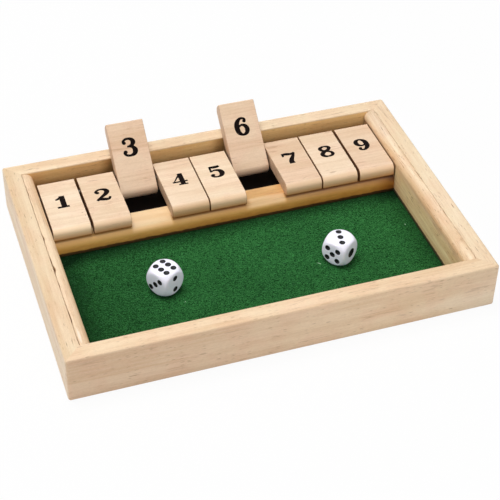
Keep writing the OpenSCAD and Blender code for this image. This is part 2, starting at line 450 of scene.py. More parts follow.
def wall_wood(node, quarter):
    """Wood of a frame wall: tinted, darker inside with painted shade and a painted shadow left of
    each raised tile on the back wall, and unevenly tinted outside.
    """
    colours = settings().colours
    look = Wood(f"{node}_wood", quarter % 2, colours.frame_pale, colours.frame_brown,
                3.0 + 5.7 * quarter, flecks=1.5)
    inside = look.inside(1.4)
    # Painted shade on the inner faces, strongest on the back wall
    look.tinge(inside * (1.0 if node == "back_wall" else 0.5), INNER_SHADE)
    outer_front = look.along(Y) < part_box("front_wall")[0].y + SKIN * MM
    look.tinge(outer_front * look.ramp(X, 90, -90), (0.88, 0.85, 0.86))
    look.tinge(outer_front * look.ramp(X, 60, 120), (1.0, 1.06, 1.14))
    if node == "back_wall":
        # Less painted shade on the inner face to the right of x = -55 mm
        look.tinge(inside * look.ramp(X, -55, -40), (1.12, 1.2, 1.28))
        # Painted shadow on the inner face just left of each raised tile
        for n in RAISED:
            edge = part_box(f"tile_{n}")[0].x
            beside = look.ramp(X, edge / MM - 9, edge / MM - 1) * (look.along(X) < edge + MM)
            look.tinge(inside * beside * 0.85, (0.58, 0.5, 0.38))
    if node == "left_wall":
        look.tinge(look.along(X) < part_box(node)[0].x + SKIN * MM, (1.0, 1.04, 1.12))
    if node in WALL_TINTS:
        look.tinge(*WALL_TINTS[node])
    look.marks(node)
    return look.finish()


def strip_wood(node, side):
    """Wood of a side strip, with painted shade on its inner face and in the gaps next to the
    tiles, and a dark line of dirt and painted shade at its foot.
    """
    colours = settings().colours
    right = 1 if side > 0 else 0
    look = Wood(f"{node}_wood", Y, colours.strip_pale, colours.frame_brown, 31.0 + 4.1 * right,
                0.05 - 0.1 * right, 1.0 + right, 0.6 * right)
    # Painted shade on the strip's inner face
    look.tinge(look.inside(3.5) * 0.3, INNER_SHADE)
    tile_low, tile_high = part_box(FLAT_TILE)
    tile_top = tile_high.z / MM
    # Painted shade in the gaps next to the tiles, below their top
    gap_shaded = (look.along(Y) > tile_low.y) * look.ramp(Z, tile_top, tile_top - 0.8)
    look.tinge(gap_shaded * 0.75, STRIP_GAP_SHADE)
    # Dark line at the foot: dirt, and painted shade where the strip meets the felt
    look.stain(look.foot_line(1.1) * 0.9, DIRT_AND_SHADE)
    if right:
        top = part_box(node)[1].z / MM
        look.tinge(look.ramp(Y, 30, 60), (0.92, 0.93, 0.97))
        look.tinge(look.ramp(Z, top - 6, top - 10), (1.06, 1.15, 1.08))
    else:
        look.stain(look.spot((-113.3, -69, 30), (1.3, 9, 2)) * 0.8, SPLIT)
        look.tinge(1.0, (0.95, 0.91, 0.87))
    look.marks(node)
    return look.finish()


# The rail's stains: rubbed pale on the left, amber patches, and painted light on its front and on
# its open part
RAIL_RUBBED = srgb(252, 224, 182)
RAIL_AMBER = srgb(216, 150, 84)
RAIL_FRONT_LIGHT = srgb(255, 222, 160)
RAIL_OPEN_LIGHT = srgb(255, 236, 200)
# Runs of flat tiles, first and last, and the factors of the painted shade on the rail's front edge
# under them
TILE_RUNS = ((1, 2, (0.94, 0.8, 0.46)), (4, 5, (0.96, 0.84, 0.5)), (7, 9, (0.8, 0.67, 0.36)))


def rail_wood():
    """Varnished wood of the rail: amber patches, a pale front and open part that are painted
    light, and painted shade under the tiles, at its right end and at its foot.
    """
    colours = settings().colours
    low, high = (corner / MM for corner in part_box("tile_rail"))
    look = Wood("rail_varnished", X, colours.rail_pale, colours.rail_brown, 51.0, -0.02, 0.7, 0.2)
    look.stain(look.ramp(X, 10, -60) * 0.6, RAIL_RUBBED)
    look.tinge(look.ramp(X, -40, 20), (0.9, 0.83, 0.72))
    cloud = look.noise((20, 7, 9), 61.0, 3.0, 0.6, (0, 0, 0.1))
    look.stain(look.smooth(cloud, 0.42, 0.62) * look.ramp(X, -90, 50) * 0.5, RAIL_AMBER)
    # Painted light on the front, paler and warmer, more of it towards the left end
    front = look.ramp(Y, low.y + 2.5, low.y + 0.5)
    look.stain(front * (0.5 + 0.3 * look.ramp(X, -40, low.x)), RAIL_FRONT_LIGHT)
    look.tinge(front, (1.05, 0.9, 0.74))
    # Painted light on the front edge between x = 11 and 38 mm, where no flat tile covers it
    front_half = look.ramp(Y, low.y + 6, low.y + 4)
    open_part = look.ramp(X, 11, 16) * look.ramp(X, 38, 34)
    open_lit_edge = open_part * front_half * look.ramp(Z, high.z - 4.5, high.z - 2.5)
    look.stain(open_lit_edge * 0.22, RAIL_OPEN_LIGHT)
    # Painted shade on the front edge under each run of flat tiles, and a painted contact shadow
    # just under their fronts
    for first, last, factors in TILE_RUNS:
        left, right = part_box(f"tile_{first}")[0].x / MM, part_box(f"tile_{last}")[1].x / MM
        under = look.ramp(X, left - 1, left + 1) * look.ramp(X, right + 1, right - 1) * front_half
        look.tinge(under * look.ramp(Z, high.z - 6, high.z - 1.5), factors)
        look.tinge(under * look.ramp(Z, high.z - 2.4, high.z - 1.5), TILE_CONTACT_SHADOW)
    look.tinge(look.ramp(Z, high.z - 3, high.z - 6.5) * front, (0.92, 0.83, 0.52))
    # Darker towards the right end and in its top corner: painted shadow of the right wall
    look.tinge(look.ramp(X, 35, 60), (0.88, 0.84, 0.76))
    look.tinge(look.ramp(X, high.x - 16.5, high.x), (0.6, 0.48, 0.3))
    look.tinge(look.ramp(X, high.x - 6.5, high.x) * look.ramp(Z, high.z - 6, high.z - 3),
               (0.5, 0.42, 0.3))
    # Darker towards the felt, then a dark line at the foot: painted shade where the rail meets the
    # felt, and dirt in the line
    look.tinge(look.foot_line(5) * 0.8, (0.76, 0.66, 0.56))
    look.stain(look.foot_line(1.5) * 0.9, DIRT_AND_SHADE)
    return look.finish(0.3)


# How rosy each tile's wood is, from pale to rosy, and how dark its sides are: browned by the saw,
# and painted shade of the gaps between tiles
ROSY = {1: 0.15, 2: 0.4, 3: 0.9, 4: 0.35, 5: 0.0, 6: 0.8, 7: 0.75, 8: 0.3, 9: 0.75}
SIDES_SAWN_AND_SHADED = {1: 1.0, 2: 1.0, 3: 0.3, 4: 0.55, 5: 1.0, 6: 0.3, 7: 0.3, 8: 1.0, 9: 1.0}
# Tiles whose noise seed, waviness or front isn't the usual one: tile 1's front is paler, and tile
# 4's darker with the painted shadow of tile 3
SEEDS = {1: 91.0}
WAVY = {2: 1.0}
FRONTS = {1: (1.14, 1.04, 0.92), 4: (0.8, 0.63, 0.46)}
# Painted light laid on every tile's front edge
TILE_FRONT_LIGHT = srgb(255, 238, 210)


def tile_wood(n):
    """Sanded wood of tile n: a front edge with painted light and painted shade towards its foot,
    and sides browned by the saw and darkened by painted shade.
    """
    colours = settings().colours
    pale = Vector(colours.tile_pale).lerp(Vector(colours.tile_rosy), ROSY[n])
    look = Wood(f"tile_{n}_wood", X, pale, tinted(pale, colours.tile_growth),
                SEEDS.get(n, 70.0 + 3.7 * n), 0.05 * math.sin(2.4 * n), 0.12, WAVY.get(n, 0.15))
    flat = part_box(FLAT_TILE)[0]
    end, foot = flat.y / MM, flat.z / MM
    front = look.ramp(Y, end + 4, end)
    # Painted light on the front edge, warmer, and painted shade darkening it towards its foot
    look.stain(front * 0.6, TILE_FRONT_LIGHT)
    look.tinge(front, FRONTS.get(n, (1.02, 0.87, 0.74)))
    look.tinge(front * look.ramp(Z, foot + 5, foot + 0.3), (0.76, 0.54, 0.33))
    # Painted shadow along the bottom of the front, where it sits on the rail
    lip_shadow = look.ramp(Z, foot + 1.4, foot + 0.6) * (look.along(Y) < flat.y + 0.6 * MM)
    look.tinge(lip_shadow * 0.92, LIP_SHADOW)
    low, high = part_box(f"tile_{n}")
    off = look.along(X) - (low.x + high.x) / 2
    side = (high.x - low.x) / 2 - 0.35 * MM
    # Sides browned by the saw, and darkened by painted shade of the gaps between tiles
    look.tinge((off * off > side ** 2) * SIDES_SAWN_AND_SHADED[n], SAWN_AND_SHADED)
    look.marks(f"tile_{n}")
    return look.finish()


# ------------------------------------------------------------------ other materials

def felt_shade(sh):
    """How much painted shade darkens the felt: along its ends and the rail, and a painted shadow
    under and round each die.
    """
    x, y = sh.along(X), sh.along(Y)
    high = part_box("felt_mat")[1]
    shaded = sh.smooth(x * x, (high.x - 22 * MM) ** 2, high.x ** 2) * 0.5
    shaded = shaded + sh.smooth(x, -30 * MM, -high.x) * 0.2 + sh.ramp(X, 10, -20) * 0.1
    shaded = shaded + sh.smooth(y, high.y - 17 * MM, high.y) * 0.75
    for side in ("left", "right"):
        under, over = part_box(f"die_{side}")
        off_x, off_y = x - (under.x + over.x) / 2, y - (under.y + over.y) / 2
        far = off_x * off_x + off_y * off_y
        shaded = shaded + sh.smooth(far, (11 * MM) ** 2, (8 * MM) ** 2) * 0.5
    return shaded


def felt_cloth():
    """Pressed felt: a dark ground, matted lighter fibres, a soft nap and a little fluff."""
    colours = settings().colours
    sh = Shader("felt_green")
    cloud = sh.noise((38, 30, 30), 1.0, 3.0, 0.6)
    nap = sh.noise((0.7, 0.5, 0.5), 2.0, 3.0, 0.75, (0, 0, 0.5), 1.2)
    fine = sh.noise((0.42, 0.42, 0.42), 3.0, 2.0, 0.7, (0, 0, 0), 0.8)
    hairs = sh.noise((2.4, 0.3, 0.3), 4.0, 2.0, 0.6, (0, 0, 1.1), 1.5)
    fluff = sh.noise((1.5, 0.4, 0.4), 6.0, 2.0, 0.6, (0, 0, -0.6), 1.5)
    matted = nap * 0.5 + fine * 0.25 + hairs * 0.25
    # Painted shade darkens the felt along its ends and the rail, and painted shadow round each die
    light = sh.smooth(matted, 0.45, 0.58) * (0.7 + 0.6 * cloud) * (1 - felt_shade(sh))
    colour = sh.mix(light, colours.felt_dark, colours.felt_light)
    colour = sh.mix(sh.smooth(fluff, 0.55, 0.72) * 0.17, colour, colours.fluff)
    return sh.surface({
        "Base Color": colour,
        "Roughness": 0.95,
        "Specular IOR Level": 0.05,
        "Normal": sh.bump(matted, 0.35),
    })


def fibre_hair(name, colour):
    """A loose fibre, lighter and darker along its length."""
    sh = Shader(name)
    tone = sh.noise((1.5, 1.5, 1.5), 6.0, 1.0)
    return sh.surface({
        "Base Color": sh.mix(tone, shade(colour, 0.7), colour),
        "Roughness": 0.8,
        "Specular IOR Level": 0.05,
    })


def stained_and_shaded_board():
    """Dark stained hardboard, kept nearly black as painted shade for the channel, with matted
    fibres and dust in its pores.
    """
    board = settings().colours.board
    sh = Shader("dark_board")
    mat = sh.noise((2.2, 2.2, 2.2), 1.0, 4.0, 0.7, (0, 0, 0), 1.5)
    cloud = sh.noise((40, 40, 40), 2.0, 2.0)
    speck, pick = sh.cells((0.9, 0.9, 0.9), 5.0)
    dust = sh.smooth(speck, 0.4, 0.1) * (pick > 0.8)
    worn = sh.smooth(mat * 0.7 + cloud * 0.3, 0.35, 0.75)
    colour = sh.mix(worn, board, shade(board, 2.1, 0.004))
    return sh.surface({
        "Base Color": sh.mix(dust * 0.35, colour, shade(board, 6)),
        "Roughness": 0.6 + 0.2 * mat,
        "Specular IOR Level": 0.2,
        "Normal": sh.bump(mat, 0.08, 0.6),
    })


def drawn_steel(name, axis):
    """Drawn steel with fine lines along its length and a few dull spots."""
    steel = settings().colours.steel
    sh = Shader(name)
    lines = sh.noise(grain(axis, 30, 0.12), 1.0, 3.0, 0.7)
    dull = sh.noise((5, 5, 5), 2.0, 3.0, 0.6)
    tarnished = sh.smooth(dull * 0.7 + lines * 0.3, 0.45, 0.72)
    return sh.surface({
        "Base Color": sh.mix(tarnished, steel, tinted(steel, (0.62, 0.58, 0.52))),
        "Metallic": 1.0,
        "Roughness": 0.26 + 0.2 * dull + 0.1 * lines,
        "Normal": sh.bump(lines, 0.01, 0.5),
    })


def number_ink():
    """Stamped ink that lets a little of the wood's pores through."""
    ink = settings().colours.ink
    sh = Shader("number_ink")
    thin = sh.noise((2.2, 0.5, 0.5), 1.0, 3.0, 0.65)
    return sh.surface({
        "Base Color": sh.mix(sh.smooth(thin, 0.62, 0.8) * 0.7, ink, shade(ink, 3, 0.004)),
        "Roughness": 0.6 + 0.2 * thin,
        "Specular IOR Level": 0.05,
        "Normal": sh.bump(thin, 0.02, 0.5),
    })


def die_plastic():
    """Polished white plastic with faint handling marks, and a faint cool glow that is painted
    light.
    """
    die = settings().colours.die
    sh = Shader("die_white")
    cloud = sh.noise((4, 4, 4), 1.0, 2.0)
    marks = sh.noise((3, 0.15, 0.15), 2.0, 2.0, 0.6, (0.4, 0.3, 0.9))
    return sh.surface({
        "Base Color": sh.mix(cloud * 0.6, die, tinted(die, (1, 0.99, 0.97))),
        # Painted light: a faint cool glow that stands in for bright fill on the dice
        "Emission Color": (0.5, 0.72, 1.0),
        "Emission Strength": 0.1,
        "Roughness": 0.16 + 0.12 * sh.smooth(marks, 0.55, 0.75),
        "Subsurface Weight": 0.12,
        "Subsurface Radius": (0.0015, 0.0013, 0.0012),
        "Subsurface Scale": 1.0,
        "Coat Weight": 0.25,
        "Coat Roughness": 0.06,
        "Normal": sh.bump(marks, 0.008, 0.4),
    })


def pip_paint():
    """Black paint in the pips, a little worn."""
    pip = settings().colours.pip
    sh = Shader("pip_black")
    cloud = sh.noise((0.8, 0.8, 0.8), 1.0, 2.0)
    return sh.surface({
        "Base Color": sh.mix(sh.smooth(cloud, 0.5, 0.8) * 0.5, pip, shade(pip, 2.5, 0.01)),
        "Roughness": 0.4 + 0.2 * cloud,
        "Specular IOR Level": 0.3,
        "Normal": sh.bump(cloud, 0.02, 0.3),
    })


# ------------------------------------------------------------------ meshes

# Radius of a corner that stays sharp and distance within which points are joined, in metres
SHARP = 1e-7
JOIN = 1e-6
# Angle from which an edge stays creased, and sides of the hole for the rod
CREASE = math.radians(40)
BORE_SIDES = 32
# Radii of hidden corners: eased and nearly sharp
EASED = 0.2 * MM
TIGHT = 0.1 * MM


def outline(corners, inset=0.0, steps=5):
    """Closed line through corners (a, b, radius), anticlockwise, moved in by inset."""
    points = []
    count = len(corners)
    for i, (a, b, radius) in enumerate(corners):
        here = Vector((a, b))
        before = (here - Vector(corners[i - 1][:2])).normalized()
        after = (Vector(corners[(i + 1) % count][:2]) - here).normalized()
        turn = math.atan2(before.cross(after), before.dot(after))
        bend = max(radius, SHARP)
        back = bend * math.tan(abs(turn) / 2)
        side = math.copysign(1, turn)
        inward = Vector((-before.y, before.x))
        centre = here - before * back + inward * side * bend
        spoke = -inward * side * (bend - side * inset)
        for k in range(steps + 1):
            angle = turn * k / steps
            c, s = math.cos(angle), math.sin(angle)
            points.append(centre + Vector((spoke.x * c - spoke.y * s, spoke.x * s + spoke.y * c)))
    return points


def new_piece(name, build, body, replaced, material):
    """Makes a mesh object with build(bm), rides it on its body and gives it a material."""
    bm = bmesh.new()
    build(bm)
    bmesh.ops.remove_doubles(bm, verts=bm.verts, dist=JOIN)
    bmesh.ops.dissolve_degenerate(bm, edges=bm.edges, dist=JOIN)
    bmesh.ops.recalc_face_normals(bm, faces=bm.faces)
    mesh = bpy.data.meshes.new(name)
    bm.to_mesh(mesh)
    bm.free()
    mesh.shade_smooth()
    mesh.set_sharp_from_angle(angle=CREASE)
    piece = bpy.data.objects.new(name, mesh)
    bpy.context.scene.collection.objects.link(piece)
    weighted = piece.modifiers.new("even_faces", "WEIGHTED_NORMAL")
    weighted.keep_sharp = True
    mesh.materials.append(material)
    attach(piece, body)
    if replaced:
        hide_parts(*replaced)
    return piece


def loft(bm, rings):
    """Joins equal closed rings of points, one after the other."""
    loops = [[bm.verts.new(point) for point in ring] for ring in rings]
    for first, second in zip(loops, loops[1:]):
        count = len(first)
        for i in range(count):
            j = (i + 1) % count
            bm.faces.new((first[i], first[j], second[j], second[i]))
    return loops


def soft_ends(start, end, arris, steps=3):
    """Stations (place, inset) of a bar whose two ends are rounded by arris."""
    turns = [math.pi / 2 * (1 - k / steps) for k in range(steps + 1)]
    head = [(start + arris - arris * math.sin(turn), arris * (1 - math.cos(turn)))
            for turn in turns]
    tail = [(start + end - place, inset) for place, inset in reversed(head)]
    return head + tail


def bar(bm, corners, start, end, arris, place, hole=None, between=0):
    """A bar with the given section from start to end; place(along, a, b) gives a point.

    hole is the centre and radius (a, b, radius) of a bore along the bar, and between is how
    many more sections stand evenly along it.
    """
    stations = soft_ends(start, end, arris)
    half = len(stations) // 2
    first, last = stations[half - 1][0], stations[half][0]
    stations[half:half] = [(first + (last - first) * k / (between + 1), 0.0)
                           for k in range(1, between + 1)]
    rings = [[place(along, p.x, p.y) for p in outline(corners, inset)]
             for along, inset in stations]
    loops = loft(bm, rings)
    if hole is None:
        bm.faces.new(loops[0])
        bm.faces.new(loops[-1])
        return
    a, b, radius = hole
    turns = [2 * math.pi * k / BORE_SIDES for k in range(BORE_SIDES)]
    rim = [Vector((a + radius * math.cos(t), b + radius * math.sin(t))) for t in turns]
    bores = loft(bm, [[place(along, p.x, p.y) for p in rim] for along in (start, end)])
    edge = outline(corners, stations[0][1])
    faces = [list(range(len(edge))), list(range(len(edge), len(edge) + len(rim)))]
    cut = delaunay_2d_cdt(edge + rim, [], faces, 1, SHARP)
    for cap, bore in zip((loops[0], loops[-1]), bores):
        verts = [(cap + bore)[origins[0]] for origins in cut[3]]
        for triangle, owners in zip(cut[2], cut[5]):
            if owners == [0]:
                bm.faces.new([verts[i] for i in triangle])


def mitred_bar(bm, corners, length, edge, place, steps=5):
    """A frame wall with mitred ends; its outer corners are rounded with the radius edge.

    The section's corners are (depth, height, radius) and place(along, inward, up) gives a point.
    """
    section = outline(corners)
    half = length / 2
    stations = [(-1, math.pi / 4 * (1 - k / steps)) for k in range(steps + 1)]
    stations += [(side * -1, turn) for side, turn in reversed(stations)]

    def at(side, turn, depth, height):
        """A point of the section: side is the end, turn the way round its outer corner."""
        if depth < edge:
            reach = edge - depth
            return place(side * (half - edge + reach * math.sin(turn)),
                         edge - reach * math.cos(turn), height)
        return place(side * (half - depth), depth, height)

    loops = loft(bm, [[at(side, turn, p.x, p.y) for p in section] for side, turn in stations])
    bm.faces.new(loops[0])
    bm.faces.new(loops[-1])


# ------------------------------------------------------------------ the box

# Frame walls in the order of their quarter turns from the front
WALLS = ("front_wall", "right_wall", "back_wall", "left_wall")
# Rounding of a strip's ends, sections along it, and how far from its outer top edge it chips
STRIP_ARRIS = 0.09 * MM
STRIP_SECTIONS = 120
CHIPPED = 0.3 * MM
# Chips out of the strips' outer edges: place along the strip, half length and depth
CHIPS = {
    "left_strip": [(-13, 3.2, 0.85), (-6, 2.5, 0.35), (14, 3, 0.3), (-53, 5, 0.3)],
    "right_strip": [(-33, 3, 0.2)],
}


class SHUTBOX_OT_frame(bpy.types.Operator):
    """Four mitred frame walls"""

    bl_idname = "shutbox.frame"
    bl_label = "Frame walls"

    def execute(self, context):
        sizes = settings().sizes
        low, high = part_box("front_wall")
        thick, height = high.y - low.y, high.z
        width, depth = -2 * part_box("left_wall")[0].x, -2 * low.y
        ledge = thick - sizes.rebate
        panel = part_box("base_panel")[1].z
        for quarter, node in enumerate(WALLS):
            turn = Matrix.Rotation(math.pi / 2 * quarter, 3, "Z")
            length, span = (depth, width) if quarter % 2 else (width, depth)
            inner = sizes.inner_round if node == "back_wall" else sizes.joint_round
            corners = [
                (0, 0, sizes.edge_round), (ledge, 0, EASED), (ledge, panel, TIGHT),
                (thick, panel, EASED), (thick, height, inner), (0, height, sizes.edge_round),
            ]

            def place(along, inward, up):
                return turn @ Vector((along, inward - span / 2, up))

            new_piece(f"{node}_board",
                      lambda bm: mitred_bar(bm, corners, length, sizes.edge_round, place),
                      "case", [node], wall_wood(node, quarter))
        return {"FINISHED"}


class SHUTBOX_OT_strips(bpy.types.Operator):
    """Two side strips with a rounded top edge"""

    bl_idname = "shutbox.strips"
    bl_label = "Side strips"

    def execute(self, context):
        sizes = settings().sizes
        for side, node in ((-1, "left_strip"), (1, "right_strip")):
            low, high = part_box(node)
            joint = sizes.joint if side < 0 else sizes.joint / 2
            thick, floor, top = high.x - low.x - joint, low.z, high.z - 2 * joint
            face = low.x if side > 0 else high.x
            corners = [
                (0, floor, sizes.arris), (thick, floor, sizes.arris),
                (thick, top, TIGHT), (0, top, sizes.strip_round),
            ]

            def place(along, a, b):
                """A point of the strip; its outer top edge is worn and chipped."""
                if a > thick - CHIPPED and b > top - CHIPPED:
                    wear = noise.noise(Vector((along / (6 * MM), 4.0 * side, 0)))
                    chip = max(0.0, wear - 0.12) * 0.5 * sizes.chip
                    for centre, reach, deep in CHIPS[node]:
                        chip += deep * sizes.chip * math.exp(-((along / MM - centre) / reach) ** 2)
                    a, b = a - chip, b - chip * 0.7
                return Vector((face + side * a, along, b))

            new_piece(f"{node}_moulding",
                      lambda bm: bar(bm, corners, low.y + sizes.joint, high.y - sizes.joint,
                                     STRIP_ARRIS, place, between=STRIP_SECTIONS),
                      "case", [node], strip_wood(node, side))
        return {"FINISHED"}


class SHUTBOX_OT_rail(bpy.types.Operator):
    """The varnished rail that the flat tiles lie on"""

    bl_idname = "shutbox.rail"
    bl_label = "Tile rail"

    def execute(self, context):
        sizes = settings().sizes
        low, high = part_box("tile_rail")
        corners = [
            (low.y, low.z, sizes.arris), (high.y, low.z, sizes.arris),
            (high.y, high.z, 2 * sizes.arris), (low.y, high.z, sizes.rail_round),
        ]
        new_piece("rail_moulding",
                  lambda bm: bar(bm, corners, low.x, high.x, sizes.arris,
                                 lambda along, a, b: Vector((along, a, b))),
                  "case", ["tile_rail"], rail_wood())
        return {"FINISHED"}


class SHUTBOX_OT_hardware(bpy.types.Operator):
    """The base panel, its pins and the rod"""

    bl_idname = "shutbox.hardware"
    bl_label = "Panel, pins and rod"

    def execute(self, context):
        looks = {"base_panel": stained_and_shaded_board(), "base_pins": drawn_steel("pin_steel", Z),
                 "pivot_rod": drawn_steel("rod_steel", X)}
        for node, look in looks.items():
            piece = frame["nodes"][node]
            piece.data.materials.clear()
            piece.data.materials.append(look)
        return {"FINISHED"}


# ------------------------------------------------------------------ felt

# Gap between the felt and the wood, and distance between the points of its top
FELT_GAP = 0.3 * MM
CELL = 1.2 * MM
# Length and height of each wave of the felt's top, how wide and how deep its rim is pressed,
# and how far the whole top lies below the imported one, in millimetres
WAVES = ((9, 0.05), (2.5, 0.03))
RIM_WIDTH, RIM_DEPTH = 1.2, 0.8
SLACK = 0.08
# Half thickness of a fibre, how far fibres keep from a die, and the same for a speck of lint
FIBRE_HALF = 0.045 * MM
DIE_MARGIN = 1.2 * MM
LINT_HALF, LINT_LIFT = 0.26 * MM, 0.25 * MM
# Places and lengths of the specks of lint on the felt, in millimetres
LINT = [(101.3, -11.8, 1.1), (39.3, -30, 2.4), (-45.5, -37, 0.9)]


@lru_cache
def felt_box():
    """Corners of the felt, a little in from the wood around it."""
    low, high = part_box("felt_mat")
    gap = Vector((FELT_GAP, FELT_GAP, 0))
    return low + gap, high - gap


def felt_top(x, y):
    """Height of the felt at a place: gently waved, and pressed down along its rim."""
    low, high = felt_box()
    edge = min(x - low.x, high.x - x, y - low.y, high.y - y)
    rise = sum(noise.noise(Vector((x, y, layer)) / (length * MM)) * height
               for layer, (length, height) in enumerate(WAVES))
    sink = RIM_DEPTH * max(0.0, 1 - edge / (RIM_WIDTH * MM)) ** 2
    return high.z + (rise - SLACK - sink) * MM


def felt_body(bm):
    """The felt as a closed slab with a fine grid on top."""
    low, high = felt_box()
    columns = round((high.x - low.x) / CELL)
    rows = round((high.y - low.y) / CELL)
    grid = [[bm.verts.new((low.x + (high.x - low.x) * i / columns,
                           low.y + (high.y - low.y) * j / rows, 0))
             for i in range(columns + 1)] for j in range(rows + 1)]
    for row in grid:
        for vert in row:
            vert.co.z = felt_top(vert.co.x, vert.co.y)
    for first, second in zip(grid, grid[1:]):
        for i in range(columns):
            bm.faces.new((first[i], first[i + 1], second[i + 1], second[i]))
    rim = grid[0] + [row[-1] for row in grid[1:]] + grid[-1][-2::-1]
    rim += [row[0] for row in grid[-2:0:-1]]
    foot = [bm.verts.new((vert.co.x, vert.co.y, low.z)) for vert in rim]
    for i in range(len(rim)):
        bm.faces.new((rim[i - 1], foot[i - 1], foot[i], rim[i]))
    bm.faces.new(foot)


def fibre(bm, pick, x, y, reach, thin, lift):
    """A curved hair of three short lengths, three-sided and closed, on the felt.

    It tapers along its reach, and its middle is lifted off the felt.
    """
    heading = pick.uniform(0, 2 * math.pi)
    curl = pick.uniform(-1.2, 1.2)
    rings = []
    for k in range(4):
        angle = heading + curl * k / 3
        side = Vector((-math.sin(angle), math.cos(angle), 0)) * thin * (1 - 0.25 * k)
        z = felt_top(x, y) + lift * math.sin(math.pi * (k + 0.3) / 3.6)
        corners = (Vector((x, y, z)) + way for way in (side, -side, Vector((0, 0, -thin))))
        rings.append([bm.verts.new(corner) for corner in corners])
        x += math.cos(angle) * reach / 3
        y += math.sin(angle) * reach / 3
    for first, second in zip(rings, rings[1:]):
        for i in range(3):
            bm.faces.new((first[i - 1], first[i], second[i], second[i - 1]))
    bm.faces.new(rings[0][::-1])
    bm.faces.new(rings[-1])


def fuzz(bm):
    """Loose fibres all over the felt, but not under the dice."""
    sizes = settings().sizes
    low, high = felt_box()
    dice = [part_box(f"die_{side}") for side in ("left", "right")]
    margin = sizes.fibre + MM
    pick = random.Random(5)
    for _ in range(sizes.fibres):
        x = pick.uniform(low.x + margin, high.x - margin)
        y = pick.uniform(low.y + margin, high.y - margin)
        if not any(a.x - DIE_MARGIN < x < b.x + DIE_MARGIN
                   and a.y - DIE_MARGIN < y < b.y + DIE_MARGIN for a, b in dice):
            fibre(bm, pick, x, y, sizes.fibre * pick.uniform(0.5, 1.2), FIBRE_HALF,
                  pick.uniform(0.08, 0.3) * MM)


def lint(bm):
    """A few larger specks."""
    pick = random.Random(3)
    for x, y, length in LINT:
        fibre(bm, pick, x * MM, y * MM, length * MM, LINT_HALF, LINT_LIFT)


class SHUTBOX_OT_felt(bpy.types.Operator):
    """The felt floor with its loose fibres and a few specks of lint"""

    bl_idname = "shutbox.felt"
    bl_label = "Felt"

    def execute(self, context):
        colours = settings().colours
        mat = new_piece("felt_cloth", felt_body, "case", ["felt_mat"], felt_cloth())
        hairs = new_piece("felt_fibres", fuzz, "case", [],
                          fibre_hair("felt_hair", colours.felt_light))
        specks = new_piece("felt_lint", lint, "case", [],
                           fibre_hair("lint_pale", colours.lint))
        return {"FINISHED"}


# ------------------------------------------------------------------ tiles and numbers

def tile_turn(node):
    """Where a tile turns, and the matrix from lying flat to its place at rest."""
    joint = JOINTS[node]
    pivot = Vector(joint["pos_m"])
    raise_by = math.radians(-joint["range_deg"][0])
    turn = Matrix.Rotation(raise_by, 4, Vector(joint["axis"]))
    return pivot, Matrix.Translation(pivot) @ turn


def tile_shape():
    """Section of a tile about the rod: front and back ends, half thickness."""
    low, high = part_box(FLAT_TILE)
    pivot = Vector(JOINTS[FLAT_TILE]["pos_m"])
    return low.y - pivot.y, high.y - pivot.y, (high.z - low.z) / 2


# How many times the usual is sanded off the sides of some tiles
NARROW = {1: 2.6, 2: 1.8, 8: 1.4, 9: 2.0}


class SHUTBOX_OT_tiles(bpy.types.Operator):
    """Nine tiles on the rod"""

    bl_idname = "shutbox.tiles"
    bl_label = "Tiles"

    def execute(self, context):
        sizes = settings().sizes
        front, back, half = tile_shape()
        under = sizes.tile_ease - half
        corners = [
            (front, under, 2 * sizes.arris), (back, under, sizes.tile_round),
            (back, half, 2 * sizes.arris), (front, half, sizes.tile_round),
        ]
        for n in TILES:
            node = f"tile_{n}"
            low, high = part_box(node)
            pivot, matrix = tile_turn(node)
            ease = sizes.tile_ease * NARROW.get(n, 1)

            def place(along, a, b):
                return matrix @ Vector((along - pivot.x, a, b))

            new_piece(f"{node}_block",
                      lambda bm: bar(bm, corners, low.x + ease, high.x - ease, sizes.arris, place,
                                     (0, 0, sizes.rod_hole)),
                      node, [node], tile_wood(n))
        return {"FINISHED"}


# How far some numbers are printed off their usual place, in millimetres
OFF_PLACE = {1: (-0.3, 0), 2: (0, -0.7), 5: (0.5, 0.8)}
# Added to the half width of every stroke, sides of a dot, the smallest patch that is kept and
# the distance within which corners of patches are joined; all on a number's height of 1
SPREAD = 0.021
DOT_SIDES = 28
SPECK = 1e-7
MERGE = 1e-5


def block(left, foot, right, top):
    """Corners of a rectangle."""
    return [(left, foot), (right, foot), (right, top), (left, top)]


